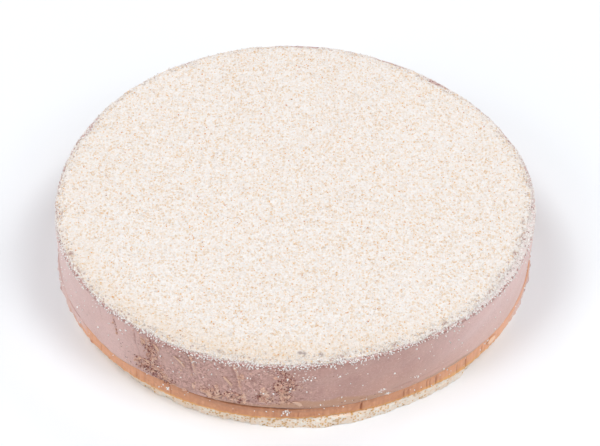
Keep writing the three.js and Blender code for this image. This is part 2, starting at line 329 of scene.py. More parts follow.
def newGroup(name, inputs, outputs):
    group = bpy.data.node_groups.new(name, "ShaderNodeTree")
    for label, value in inputs.items():
        socket = group.interface.new_socket(name=label, in_out="INPUT", socket_type="NodeSocketFloat")
        socket.default_value = value
    for label in outputs:
        group.interface.new_socket(name=label, in_out="OUTPUT", socket_type="NodeSocketFloat")
    return group, group.nodes.new("NodeGroupInput").outputs, group.nodes.new("NodeGroupOutput").inputs


def makeMottle():  # soft uneven tone in three sizes, from 0 to 1
    group, given, result = newGroup("mottle", {"Size": 8.0, "Roughness": 0.55}, ["Tone"])
    place = placeInMillimetres(group)
    scale = calculate(group, "DIVIDE", 1.0, given["Size"])
    links = {"Vector": place, "Scale": scale, "Detail": 3.0, "Roughness": given["Roughness"]}
    noise = addNode(group, "ShaderNodeTexNoise", links)
    group.links.new(span(group, noise.outputs["Fac"], 0.3, 0.7), result["Tone"])
    return group


def makeSpecks():  # round specks, by the size of their cells, the share that is filled and their width
    inputs = {"Size": 1.0, "Share": 0.3, "Width": 0.35, "Shift": 0.0}
    group, given, result = newGroup("specks", inputs, ["Mask", "Chance"])
    links = {0: placeInMillimetres(group), 1: given["Shift"]}
    place = addNode(group, "ShaderNodeVectorMath", links, operation="ADD").outputs[0]
    scale = calculate(group, "DIVIDE", 1.0, given["Size"])
    cells = addNode(group, "ShaderNodeTexVoronoi", {"Vector": place, "Scale": scale})
    chance = addNode(group, "ShaderNodeSeparateColor", {0: cells.outputs["Color"]})
    filled = calculate(group, "LESS_THAN", chance.outputs["Red"], given["Share"])
    half = times(group, given["Width"], 0.5)
    inside = span(group, cells.outputs["Distance"], given["Width"], half)
    group.links.new(times(group, filled, inside), result["Mask"])
    group.links.new(chance.outputs["Green"], result["Chance"])
    return group


mottleGroup = makeMottle()
specksGroup = makeSpecks()


def mottle(tree, size, roughness=0.55):
    values = {"Size": size, "Roughness": roughness}
    return addNode(tree, "ShaderNodeGroup", values, node_tree=mottleGroup).outputs["Tone"]


def specks(tree, size, share, width, shift=0.0, output="Mask"):
    values = {"Size": size, "Share": share, "Width": width, "Shift": shift}
    return addNode(tree, "ShaderNodeGroup", values, node_tree=specksGroup).outputs[output]


def allSpecks(tree, layer):  # masks of a layer's specks by their names
    return {name: specks(tree, *row) for name, row in layer["specks"].items()}


def newMaterial(name):
    material = bpy.data.materials.new(name)
    material.use_nodes = True
    material.node_tree.nodes.clear()
    return material, material.node_tree


def finishMaterial(material, colour, roughness, height=None, depth=0.1, strength=0.5,
                   specular=0.5, sheen=0.0):
    tree = material.node_tree
    links = {"Base Color": tint(colour), "Roughness": roughness,
             "Specular IOR Level": specular, "Sheen Weight": sheen}
    if height is not None:
        bump = {"Height": height, "Distance": depth * mm, "Strength": strength}
        links["Normal"] = addNode(tree, "ShaderNodeBump", bump).outputs[0]
    shader = addNode(tree, "ShaderNodeBsdfPrincipled", links)
    addNode(tree, "ShaderNodeOutputMaterial", {"Surface": shader.outputs[0]})
    return material


def grainMaterial(name, first, second):
    material, tree = newMaterial(name)
    colour = mixColours(tree, fromMesh(tree, "tone"), first, second)
    return finishMaterial(material, colour, grainShape["roughness"], specular=0.2)


# Mousse

mousse = {
    "piece": ("mousse_body", "mousse", "mousse"),  # name, node, slot
    "columns": 1440, "pull": 0.48,
    "wallRows": 54, "rimRows": 6, "marginRows": 8,
    "marginWidth": 12,  # how far the modelled top reaches in under the crumb
    "rimInset": 1.6, "rimDrop": 2, "rimLength": 2.8,
    "footInset": 0.15, "footFade": 0.6, "seamReach": 6,  # heights over which foot and seam fade out
    "waves": [(9, 0.22, 4), (17, 0.14, 11)],
    "wavesLean": 1.4,  # degrees for each millimetre of height
    "wavesFrom": (0, 4),  # heights between which they come in
    "unevenness": [(25, 0.16, 10), (7, 0.12, 11), (2.2, 0.05, 12)],
    "rimBumps": [(1.7, 0.2, 31), (5, 0.14, 32)], "bumpyRim": (3, 1),  # from and to this far under the crumb
    "coarse": [(2.6, 1, 24)], "lumps": [(1.4, 1, 23)], "ragged": [(5, 1, 21), (2, 0.6, 28)],
    "wander": [(5, 0.5, 25)], "patchy": [(9, 1, 20)],
    "roughOut": 0.09, "tornOut": 0.3, "scrapOut": 0.5, "nickDepth": 0.8,
    "rough": [(-107, 20, 1)], "roughEdge": (-0.9, 0.4), "tearEdge": (0.2, 1.7), "markEdge": (0.75, 1.1),
    "tears": [  # upper angle and height above the caramel, lower angle and height, half width, strength
        (-122.6, 25, -122.5, 6, 4, 0.75), (-125.6, 6.6, -118, 3.6, 3, 0.9), (-103.8, 8, -101.6, 5, 3, 0.7),
        (-109.5, 7, -105.8, 6, 2.6, 0.7), (-91.2, 27, -88.8, 18, 3.6, 0.8), (-91.6, 18, -91, 8, 3.6, 0.9),
        (-96, 9, -92.8, 6, 2.8, 0.8), (-134.4, 30, -132.6, 19, 0.9, 0.75),
    ],
    "scraps": [  # tan scraps that stand proud: angle, height above the caramel, half width, half height
        (-109.2, 6, 2.2, 1.1), (-107.4, 3.6, 2.5, 1.2), (-106, 7.4, 1.4, 2.9), (-106.3, 12, 1.1, 1.4),
        (-111.6, 7.4, 1.1, 1.4), (-103.8, 7, 2.6, 1.4), (-102.4, 4.4, 2.2, 1.0), (-99.8, 7.4, 1.1, 3.6),
        (-95.6, 14.8, 1.1, 2.2), (-94.7, 10.5, 2.2, 3.6), (-94.8, 6.4, 3.1, 1.9), (-92.1, 17.4, 1.6, 3.4),
        (-91.3, 13.6, 2.3, 3.1), (-90.6, 9.4, 2.9, 1.2), (-91.6, 5.6, 1.6, 1.0), (-119.2, 5.2, 2.3, 0.8),
        (-124.4, 8.4, 1.6, 0.8), (-121.8, 8, 1.2, 1.9), (-127.2, 6.6, 1.7, 1.0), (-126, 10.4, 1.1, 1.1),
        (-122.2, 14.6, 1.1, 1.7), (-100.2, 22, 1.1, 2.4), (-92.8, 24, 1.4, 0.8), (-114, 2.6, 1.9, 0.7),
    ],
    "nicks": [  # deep nicks, darkened with painted shade: angle, height above the caramel, half width, half height
        (-119.6, 3.6, 0.75, 0.55), (-118.5, 2, 0.95, 0.5), (-124.3, 6.9, 0.4, 0.75),
        (-121.5, 6.6, 0.85, 0.5), (-125.6, 4.4, 0.95, 0.35), (-91.9, 21, 0.8, 0.45),
        (-90.3, 14, 0.75, 0.45), (-93.4, 6, 0.5, 0.7), (-94.3, 12.6, 0.55, 0.5), (-104, 9, 0.85, 0.35),
        (-102.8, 6.2, 0.8, 0.45), (-108.8, 5.2, 0.8, 0.45), (-105.5, 8.3, 0.4, 0.6),
        (-91.4, 5.2, 0.5, 0.45), (-90.6, 11, 0.55, 0.55), (-89.2, 19.4, 0.45, 0.35),
        (-91, 26, 0.55, 0.35), (-98.9, 4.6, 0.85, 0.35), (-101, 9, 0.4, 0.35), (-96.4, 9.6, 0.4, 0.35),
    ],
    "creases": [  # top angle and height, bottom angle and height, width, depth, darkness of the shade painted in it
        (-134.2, 32, -132.4, 20, 1, 0.2, 0.1), (-127.3, 27, -125.8, 11, 0.6, 0.4, 0.5),
        (-112.9, 31, -111.9, 15, 0.6, 0.6, 0.7), (-112.1, 29, -111.1, 15, 0.5, -0.6, 0),
        (-102, 30, -100.2, 11, 0.6, -0.7, 0), (-102.6, 29, -100.8, 14, 0.45, 0.4, 0.5),
        (-65, 2.6, -46, 5.5, 0.35, 0.2, 0.4), (-138.6, 28, -137.8, 18, 0.5, 0.3, 0.2),
    ],
    # openDark is painted shade in the open seam over the caramel
    "openSeam": [(-98, 11, 1)], "openDepth": 1.1, "openDark": 0.8,
    "smear": [  # caramel drawn up: middle, half width, height
        (-84, 8.5, 4.6), (-72, 7, 3.6), (-97, 12, 2.9), (-44, 13, 2.4),
    ],
    "warmed": [(-40, 26, 0.3), (-64, 9, 0.16)],  # where the foot of the wall is warmer in tone
    "warmedUp": (3, 20),  # and between which heights that fades
    "paintedSideLight": [  # painted light: the wall drawn paler and less deep at its sides, where the lamps light it most
        (-152, 22, 0.6), (-133, 7, 0.3), (170, 30, 0.65), (-14, 26, 0.78), (-42, 14, 0.52),
    ],
    "light": (210, 166, 155), "deep": (164, 120, 110), "pale": (239, 205, 201),
    # hole colours the dark chips and dots of the torn mousse, and is painted shade in its nicks, creases
    # and open seam
    "torn": (174, 128, 118), "hole": (132, 74, 66), "tan": (230, 193, 172), "smeared": (190, 143, 114),
    "warm": (214, 164, 138), "rimShade": (158, 113, 104), "lip": (196, 126, 112),
    "bands": {"belowRim": (3.2, 1.2), "lip": (1.3, 0.6)},  # from and to this far under the crumb
    "chips": {"paleChips": (0.56, 0.72), "darkChips": (0.34, 0.16)},  # tones at which they begin and end
    "specks": {"pinholes": (1.3, 0.16, 0.24), "frost": (0.8, 0.2, 0.5, 3.7)},  # size, share, width, shift
    "tornSpecks": {"dots": (1.0, 0.6, 5.3), "flecks": (1.3, 0.6, 9.1)},  # size, width, shift
    "topSpecks": (1.8, 0.36, 0.62, 2.2),
    "overlays": [  # mask, strength, colour, in the order in which they are laid over each other
        ("paintedSideLight", 1, "pale"), ("torn", 0.5, "torn"), ("warm", 1, "warm"), ("smear", 0.9, "smeared"),
        ("paleChips", 0.85, "tan"), ("darkChips", 0.9, "hole"), ("pinholes", 0.5, "torn"),
        ("frost", 0.22, "pale"), ("flecks", 0.5, "tan"), ("dots", 0.8, "hole"), ("tan", 0.95, "tan"),
        ("recessShade", 0.85, "hole"), ("belowRim", 1, "rimShade"), ("lip", 0.8, "lip"),
    ],
    "top": (204, 174, 169), "topSpots": (150, 106, 98), "dusted": (228, 214, 211),
    "dusty": [(-14, 15, 1), (-33, 12, 1)],  # where fine dust whitens the bare top
    "roughness": 0.55, "sheen": 0.3,
    "sheet": {"wall": 0.19, "bottom": (0.12, 0.88, 0.11), "top": (0.88, 0.88, 0.11)},
}


def marks(rows, angle, rise, ragged):  # 1 on the ragged patches given by place and half size, 0 elsewhere
    edge = mousse["markEdge"]
    return np.maximum.reduce([1 - fade(apart(angle, rise, *row) + ragged, *edge) for row in rows])


def mousseRelief(angle, height):  # how far the wall stands out, and masks of its marks
    place = around(wallRadius(angle), angle, height)
    rise = height - mousseBase
    lean = math.radians(mousse["wavesLean"]) * rise
    out = waves(mousse["waves"], angle - lean) * fade(rise, *mousse["wavesFrom"])
    out = out + bumps(place, mousse["unevenness"])
    coarse, lumps, ragged, wander, patchy = (
        bumps(place, mousse[key]) for key in ("coarse", "lumps", "ragged", "wander", "patchy"))
    rough = patches(mousse["rough"], angle) * fade(patchy, *mousse["roughEdge"])

    torn = 0
    for *ends, width, strength in mousse["tears"]:
        distance, _ = strokeDistance(angle, rise, ends)
        torn = np.maximum(torn, strength * (1 - fade(distance / width + 0.7 * ragged, *mousse["tearEdge"])))
    hole = marks(mousse["nicks"], angle, rise, 0.5 * lumps)
    scrap = marks(mousse["scraps"], angle, rise, 0.4 * lumps + 0.3 * coarse)
    out = out + (mousse["roughOut"] * rough + mousse["tornOut"] * torn) * lumps
    out = out + mousse["tornOut"] * torn * coarse + mousse["scrapOut"] * scrap - mousse["nickDepth"] * hole
    small = (0.5 * torn + 0.12 * rough) * fade(coarse + 0.6 * lumps, 0.55, 0.95)
    tan = np.maximum(scrap, small) * (1 - hole)

    # the creases and the open seam are darkened with painted shade
    dark = 0
    for *ends, width, depth, darkness in mousse["creases"]:
        distance, share = strokeDistance(angle, rise, ends, wander)
        groove = np.exp(-(distance / width) ** 2) * (1 - 0.7 * share)
        out = out - depth * groove
        dark = np.maximum(dark, darkness * groove)
        tan = np.maximum(tan, groove * (depth < 0))
    opening = swells(mousse["openSeam"], angle)
    out = out - mousse["openDepth"] * opening * (1 - fade(rise, 0.1, 1.3))
    dark = np.maximum(dark, mousse["openDark"] * opening * (1 - fade(rise, 0.3, 1.1)))
    drawn = sum(tall * bell(angle, at, wide, 4) for at, wide, tall in mousse["smear"])
    smear = 1 - fade(rise + 0.7 * coarse, drawn - 1.4, drawn + 0.4)
    warm = patches(mousse["warmed"], angle) * (1 - fade(rise, *mousse["warmedUp"]))
    return out, {"torn": torn, "rough": rough, "hole": hole, "tan": np.clip(tan, 0, 1), "dark": dark,
                 "smear": smear, "paintedSideLight": patches(mousse["paintedSideLight"], angle), "warm": warm}


def overRim(path):  # inset, height and outward share; path is 0 where the rim begins and grows inwards
    turn = np.clip(path / mousse["rimLength"], 0, 1) * math.pi / 2
    inset = mousse["rimInset"] * (1 - np.cos(turn)) + np.clip(path - mousse["rimLength"], 0, None)
    height = crumbBase - mousse["rimDrop"] * (1 - np.sin(turn)) + np.clip(path, None, 0)
    return inset, height, np.cos(turn)


def mousseSurface(angle, path):
    inset, height, outward = overRim(path)
    rise = height - mousseBase
    inset = inset + mousse["footInset"] * np.exp(-rise / mousse["footFade"])
    height = height + seamWander(angle, "upper") * np.clip(1 - rise / mousse["seamReach"], 0, 1)
    relief, masks = mousseRelief(angle, height)
    rim = bumps(around(wallRadius(angle) - inset, angle, height), mousse["rimBumps"])
    low, high = mousse["bumpyRim"]
    atRim = fade(height, crumbBase - low, crumbBase - high)
    radius = wallRadius(angle) - inset + outward * (relief + atRim * rim)
    masks["top"] = 1 - outward
    masks["dusty"] = patches(mousse["dusty"], angle)
    return radius, height + (1 - outward) * rim, masks


def mousseMaterial():
    material, tree = newMaterial("satin mousse")
    fine, chips = mottle(tree, 1.1, 0.75), mottle(tree, 2.6, 0.8)
    torn, rough = fromMesh(tree, "torn"), fromMesh(tree, "rough")
    cells = specks(tree, 1.15, 0.0, 0.5, 1.7, "Chance")
    grain = calculate(tree, "SUBTRACT", calculate(tree, "ADD", fine, cells), 1.0)
    grain = times(tree, grain, span(tree, rough, 0, 1, 0.14, 1.1))
    tone = calculate(tree, "ADD", span(tree, mottle(tree, 14), 0, 1, 0.4, 0.6), grain)
    masks = allSpecks(tree, mousse)
    share = calculate(tree, "ADD", times(tree, rough, 0.1), times(tree, torn, 0.4))
    for name, (size, *shape) in mousse["tornSpecks"].items():
        masks[name] = specks(tree, size, share, *shape)
    for name, (low, high) in mousse["chips"].items():
        masks[name] = times(tree, span(tree, chips, low, high), torn)
    height = addNode(tree, "ShaderNodeSeparateXYZ", {0: placeInMillimetres(tree)}).outputs["Z"]
    for name, (low, high) in mousse["bands"].items():
        masks[name] = span(tree, height, crumbBase - low, crumbBase - high)
    patchy = span(tree, mottle(tree, 2.2, 0.7), 0.2, 0.8, 0.25, 0.95)
    masks["belowRim"] = times(tree, masks["belowRim"], patchy)
    # painted light on the sides of the wall, broken a little by the fine tone
    masks["paintedSideLight"] = times(tree, fromMesh(tree, "paintedSideLight"), span(tree, fine, 0, 1, 0.85, 0.65))
    # painted shade in the nicks, creases and open seam
    masks["recessShade"] = calculate(tree, "MAXIMUM", fromMesh(tree, "hole"), fromMesh(tree, "dark"))
    colour = layOver(tree, mixColours(tree, tone, mousse["light"], mousse["deep"]), mousse, masks)
    bare = mixColours(tree, fromMesh(tree, "dusty"), mousse["top"], mousse["dusted"])
    bare = mixColours(tree, times(tree, specks(tree, *mousse["topSpecks"]), 0.8), bare, mousse["topSpots"])
    colour = mixColours(tree, span(tree, fromMesh(tree, "top"), 0.05, 0.5), colour, bare)
    raised = calculate(tree, "ADD", fine, times(tree, chips, torn))
    bump = calculate(tree, "SUBTRACT", raised, calculate(tree, "ADD", masks["pinholes"], masks["dots"]))
    return finishMaterial(material, colour, mousse["roughness"], bump, depth=0.15, sheen=mousse["sheen"])


def makeMousse():
    wall = np.linspace(mousse["rimDrop"] + mousseBase - crumbBase, 0, mousse["wallRows"])
    rim = np.linspace(0, mousse["rimLength"], mousse["rimRows"] + 1)[1:]
    margin = mousse["rimLength"] + np.linspace(0, mousse["marginWidth"], mousse["marginRows"] + 1)[1:]
    angle, path = wallGrid(mousse, np.concatenate([wall, rim, margin]))
    radii, heights, masks = mousseSurface(angle, path)
    layerPiece(mousse, angle, radii, heights, mousseMaterial(), masks)


makeMousse()


# Caramel

caramel = {
    "piece": ("caramel_layer", "caramel", "caramel"),
    "columns": 1800, "rows": 22, "pull": 0.33,
    "sheet": {"wall": 0.14, "bottom": (0.2, 0.78, 0.19), "top": (0.8, 0.78, 0.19)},
    "profile": [(0, 0.3), (0.7, -0.15), (4, 0), (7, 0.05), (8, 0.15)],  # height, inset
    "squeezed": [(-171, 8, 0.25), (-9, 12, 0.4), (38, 9, 0.6), (118, 14, 0.8)],
    "unevenness": [(6, 0.12, 40), (2, 0.07, 41)], "raggedness": [(3.2, 0.3, 43), (1.2, 0.3, 44)],
    "pleating": [(1.1, 1, 42), (0.6, 0.6, 49)], "wander": [(3, 0.25, 46)],
    "grooves": [  # angle, depth, darkness of the shade painted in it
        (-72.6, 1, 1), (-87.5, 0.5, 0.6), (-61.7, 0.6, 0.6), (-60.5, 0.5, 0.5), (-55.5, 0.5, 0.5),
        (-54.6, 0.4, 0.4), (-52.9, 0.6, 0.6), (-46.6, 0.5, 0.6), (-43.6, 0.6, 0.6), (-38.2, 0.5, 0.6),
        (-139, 0.5, 0.4), (-127, 0.4, 0.3), (-117.6, 0.5, 0.4),
    ],
    "otherGrooves": 18, "otherFrom": (-25, 200), "seed": 45,  # strewn round the back
    "groove": {"width": 0.46, "middle": 3.9, "tall": 3.1},
    "pleats": [(-86, 13, 1), (-58, 12, 0.8), (-40, 8, 0.5), (-125, 9, 0.5)],
    "pleatDepth": 0.16, "plainDepth": 0.03,
    "blister": (-34.5, 5, 4, 2),  # angle, height, half width, half height
    "blisterOut": 0.9, "blisterCrease": (0.6, 0.13),  # strength and width of the painted shade in the crease round it
    "lumps": [  # small dark lumps of mousse on its lower edge: angle, height, half width, half height
        (-14.6, 2.8, 1.6, 1.6), (-11.2, 2.2, 2.8, 0.8), (-6.2, 3.2, 1.8, 0.8), (-3.4, 3.6, 0.9, 0.8),
        (-143, 0.8, 1.6, 0.9), (-162, 1.4, 2.2, 1), (-168, 2, 1.2, 1.2),
    ],
    "lumpsOut": 0.7,
    "covered": [  # mousse smeared down over the caramel, its colour paled by painted side light like the wall beside: middle, half width, from and to this height
        (-173, 22, -1, 9), (-150, 5, 4, 9), (-8, 17, -1, 4.6),
    ],
    "coverEdge": [(4, 0.9, 47), (1.5, 0.4, 46)], "coverOut": 0.45, "coverBumps": [(2.6, 0.5, 48)],
    "light": (216, 150, 107), "deep": (194, 128, 88), "lowEdge": (236, 175, 84), "shade": (164, 106, 78),
    # folds and grooves take painted shade, raised pleats and the lips beside the grooves a painted
    # highlight; the same two colours also serve the pale and dark flecks
    "darkFleckFoldAndGrooveShade": (168, 102, 68), "paleFleckAndPleatHighlight": (230, 174, 134), "coverColour": (220, 187, 183),
    "glow": (243, 171, 124), "lumpColour": (168, 110, 104), "blisterHighlight": (255, 212, 178),
    "lit": [(-28, 26, 1), (-143, 18, 0.65)],  # where light shining through it is painted in as a glow
    "lowEdgeFrom": [(-112, 26, 1), (-60, 34, 0.9)],  # where a bright line runs along its foot
    "lowEdgeTaller": [(-46, 12, 0.9)],
    "shadedFrom": [(-104, 16, 0.6), (-80, 16, 0.5)],
    "specks": {"paleFlecks": (2.1, 0.14, 0.6, 6.1), "darkFlecks": (1.4, 0.14, 0.6, 2.9)},
    "overlays": [
        ("paleFlecks", 0.4, "paleFleckAndPleatHighlight"), ("darkFlecks", 0.35, "darkFleckFoldAndGrooveShade"),
        ("glow", 0.85, "glow"), ("lowEdge", 0.95, "lowEdge"), ("shade", 0.8, "shade"),
        ("pleat", 0.42, "paleFleckAndPleatHighlight"), ("foldShade", 0.35, "darkFleckFoldAndGrooveShade"), ("covered", 0.9, "coverColour"),
        # the blister is painted lighter inside: a painted highlight
        ("blister", 0.9, "blisterHighlight"), ("groove", 0.9, "darkFleckFoldAndGrooveShade"), ("lump", 0.9, "lumpColour"),
    ],
    "roughness": 0.42, "sheen": 0.2,
}


def caramelRelief(angle, height):
    place = around(wallRadius(angle), angle, height)
    upright = place * np.array([1, 1, 0.12])  # noise on this is drawn out upwards
    rise = height - caramelBase
    pleated = patches(caramel["pleats"], angle)
    pleat, ragged = bumps(upright, caramel["pleating"]), bumps(upright, caramel["raggedness"])
    out = swells(caramel["squeezed"], angle) - np.interp(rise, *zip(*caramel["profile"]))
    depth = caramel["plainDepth"] + caramel["pleatDepth"] * pleated
    out = out + bumps(place, caramel["unevenness"]) + depth * pleat
    out = out + (1 - fade(rise, 0.3, 1.6)) * ragged

    draw = np.random.default_rng(caramel["seed"])
    others = draw.uniform(*caramel["otherFrom"], caramel["otherGrooves"])
    others = [(at, draw.uniform(0.3, 0.8), 0.5) for at in others]
    shape = caramel["groove"]
    wander = bumps(place, caramel["wander"])
    along = np.exp(-((rise - shape["middle"]) / shape["tall"]) ** 4)
    groove = 0
    for at, depth, darkness in caramel["grooves"] + others:
        across = (acrossWall(angle, at) + wander) / (shape["width"] * (0.7 + 0.5 * darkness))
        cut = np.exp(-across ** 2) * along
        # the lip beside each groove is painted lighter, a painted highlight, and the groove darker, painted
        # shade
        lip = np.exp(-(across - 1.8) ** 2 / 0.5) * along
        out = out + depth * (0.3 * lip - cut)
        groove = np.maximum(groove, cut * darkness)
        pleat = pleat + 1.2 * lip * darkness

    away = apart(angle, rise, *caramel["blister"])
    out = out + caramel["blisterOut"] * np.sqrt(np.clip(1 - away ** 2, 0, None))
    strength, width = caramel["blisterCrease"]
    groove = np.maximum(groove, strength * np.exp(-((away - 1) / width) ** 2))
    lump = np.maximum.reduce([np.exp(-apart(angle, rise, *row) ** 2) for row in caramel["lumps"]])
    covered = 0
    edge = rise + bumps(place, caramel["coverEdge"])
    for at, wide, low, high in caramel["covered"]:
        band = fade(edge, low - 0.3, low + 0.3) * (1 - fade(edge, high - 0.3, high + 0.3))
        covered = np.maximum(covered, bell(angle, at, wide, 6) * band)
    out = out + caramel["lumpsOut"] * lump
    out = out + covered * (caramel["coverOut"] + bumps(place, caramel["coverBumps"]))
    # where the pleats stand out they are painted lighter and where they sink in darker: painted highlight
    # and shade
    pleated = 0.25 + 0.75 * pleated
    lowRise = (rise + 1.2 * ragged) / (1 + swells(caramel["lowEdgeTaller"], angle))
    return out, {
        "groove": groove * (1 - covered), "covered": covered, "lump": lump,
        "blister": 1 - fade(away ** 2, 0.45, 0.95), "glow": patches(caramel["lit"], angle),
        "lowEdge": patches(caramel["lowEdgeFrom"], angle) * (1 - fade(lowRise, 0.7, 1.9)),
        "shade": patches(caramel["shadedFrom"], angle) * fade(rise, 4.4, 7),
        "pleat": np.clip(pleated * pleat, 0, 1), "foldShade": np.clip(-pleated * pleat, 0, 1)}


def caramelMaterial():
    material, tree = newMaterial("soft caramel")
    tone = times(tree, calculate(tree, "ADD", mottle(tree, 9), mottle(tree, 2)), 0.5)
    colour = mixColours(tree, tone, caramel["light"], caramel["deep"])
    colour = layOver(tree, colour, caramel, allSpecks(tree, caramel))
    return finishMaterial(material, colour, caramel["roughness"], mottle(tree, 0.8, 0.6), depth=0.08,
                          strength=0.25, sheen=caramel["sheen"])


def makeCaramel():
    tall = mousseBase - caramelBase
    angle, rise = wallGrid(caramel, np.linspace(0, tall, caramel["rows"]))
    share = rise / tall
    wander = seamWander(angle, "upper") * share + seamWander(angle, "lower") * (1 - share)
    relief, masks = caramelRelief(angle, caramelBase + rise)
    layerPiece(caramel, angle, wallRadius(angle) + relief, caramelBase + rise + wander,
               caramelMaterial(), masks)


makeCaramel()


# Sponge

sponge = {
    "piece": ("sponge_layer", "sponge_base", "sponge"),
    "columns": 1440, "rows": 15, "pull": 0.33,
    "sheet": {"wall": 0.1, "bottom": (0.29, 0.71, 0.28), "top": (0.79, 0.79, 0.2)},
    "inset": 5,
    "ledge": (0.9, 2.2, 4.5),  # rows in from the top edge, where it stands proud of the caramel
    "swelling": [(-75.5, 23, 6.4), (-115.5, 18, 2.2), (-47.5, 9, 3.2), (90, 60, 2)],
    "profile": [(0, 0), (1.2, 0), (3.6, -0.2), (5.4, 0), (7, 0.2)],  # height, inset
    "raggedness": [(9, 0.5, 50), (3, 0.45, 51), (1.1, 0.25, 52)],
    "topBumps": [(1.6, 0.25, 57)], "footBumps": [(5, 0.3, 58)],
    "poreSize": 1.9, "poreShare": 0.5, "poreDepth": 0.5, "seed": 55,
    "poresFrom": [(-86, 25, 1)], "fewPores": 0.22,
    "light": (255, 247, 236), "deep": (253, 232, 212), "poreColour": (219, 165, 70),
    "roughness": 0.9,
}


def spongeRelief(angle, height):
    place = around(wallRadius(angle), angle, height)
    out = swells(sponge["swelling"], angle) - sponge["inset"] - np.interp(height, *zip(*sponge["profile"]))
    near, chance = nearestSpot(place, sponge["poreSize"], sponge["seed"])
    share = sponge["fewPores"] + (1 - sponge["fewPores"]) * swells(sponge["poresFrom"], angle)
    share = sponge["poreShare"] * share
    pore = (chance < share) * (1 - fade(near, 0.4, 0.6 + 0.9 * chance))
    out = out + bumps(place, sponge["raggedness"]) - sponge["poreDepth"] * pore
    return out, {"pore": pore, "open": share}


def spongeMaterial():
    material, tree = newMaterial("open sponge")
    tone = times(tree, calculate(tree, "ADD", mottle(tree, 6), mottle(tree, 1.6)), 0.5)
    colour = mixColours(tree, span(tree, tone, 0.2, 0.8), sponge["light"], sponge["deep"])
    small = specks(tree, 1.3, fromMesh(tree, "open"), 0.6)
    pores = calculate(tree, "MAXIMUM", times(tree, small, 0.8), fromMesh(tree, "pore"))
    colour = mixColours(tree, times(tree, pores, 0.9), colour, sponge["poreColour"])
    height = calculate(tree, "SUBTRACT", mottle(tree, 0.7, 0.7), small)
    return finishMaterial(material, colour, sponge["roughness"], height, depth=0.25, strength=0.6,
                          specular=0.2)


def makeSponge():
    side = np.linspace(0, caramelBase, sponge["rows"])
    angle, rise = wallGrid(sponge, np.concatenate([side, [caramelBase] * len(sponge["ledge"])]))
    inward = np.concatenate([0 * side, sponge["ledge"]])[:, None]
    relief, masks = spongeRelief(angle, rise)
    radii = wallRadius(angle) + relief - inward
    place = around(radii, angle, rise)
    foot = np.clip(bumps(place, sponge["footBumps"]), 0, None) * (1 - fade(rise, 0.2, 2)) * (rise > 0)
    heights = rise + (seamWander(angle, "lower") - 0.1) * fade(rise, 3, 6)
    heights = heights + bumps(place, sponge["topBumps"]) * fade(rise, 5, 7) + foot
    layerPiece(sponge, angle, radii, heights, spongeMaterial(), masks)


makeSponge()


# Crumb topping

crumb = {
    "rings": 158,
    "thickness": 1.35, "edgeThickness": 0.4, "feather": 2,
    "sunk": 0.25,  # the underside lies this far into the mousse
    "bare": [  # spots that hardly any crumb covers: angle, inset from the wall, half size
        (-14.6, 5, 1.8), (-17.5, 2.4, 1.3), (-24.3, 1.8, 1.4), (-26.9, 2.9, 1.4), (-29.6, 6, 1.7),
        (-35.3, 3.1, 1.3), (-50.8, 3, 1.1), (-64.7, 2.6, 1.2), (-78.1, 1.8, 1.1), (-82.7, 5.5, 1.6),
        (-87, 7.6, 1.5), (-95.7, 7.5, 1.1), (-9, 6.5, 1.3), (-20.5, 5.6, 1.2), (-148.8, 1.8, 1.1),
        (-154.9, 3.3, 1.2), (-106, 4.6, 1.1),
    ],
    "bareEdge": (0.4, 1.1),
    "swell": [(14, 0.07, 60), (4, 0.1, 61)],
    "warmWander": [(5, 2, 63)], "bareWander": [(1.6, 0.9, 64)], "gapWander": [(2, 1.2, 65)],
    "grain": 0.26,  # height of the single grains in the bed
    "jitter": 0.26,
    "white": (239, 235, 233), "cream": (236, 226, 218), "tan": (226, 204, 178), "toasted": (224, 178, 122),
    # the last two colours are the mousse seen between the grains, darkened with painted shade
    "snow": (240, 238, 236), "warm": (228, 206, 182), "hollowShade": (178, 164, 158), "gapShade": (188, 156, 146),
    "whiter": 5.5,  # how far in from its edge white grains lie on the crumb
    "whiterFrom": [(-78, 44, 0.85)],  # and where they lie most
    "warmer": 24,  # how far in from its edge the crumb is warmer in tone
    "warmerFrom": [(-104, 48, 1)],
    "gappy": (0.5, 5),  # painted shade in the gaps between the grains shows up to this far in from the edge
    "specks": {"toasted": (1.2, 0.035, 0.5, 7.7)},
    "edgeSpecks": {"coarse": (2.0, 0.36, 0.5, 3.1), "fine": (1.2, 0.3, 0.6, 5.9)},
    "edgeMore": 0.16,  # how much larger the share of these is near the edge
    "overlays": [("edge", 0.42, "warm"), ("coarse", 0.75, "tan"), ("fine", 0.5, "tan"),
                 ("toasted", 1, "toasted")],
    "roughness": 0.9, "seed": 61,
    "sheetHalf": 140, "corner": 0.08,
}


def whiteness(angle):
    return np.clip(0.15 + swells(crumb["whiterFrom"], angle), 0, 1)


def crumbHeight(angle, radius):  # height of the bed without its single grains
    grown = fade(crumbRadius(angle) - radius, 0, crumb["feather"])
    thicker = crumb["thickness"] - crumb["edgeThickness"] + bumps(around(radius, angle, 0), crumb["swell"])
    return crumbBase + crumb["edgeThickness"] + thicker * grown


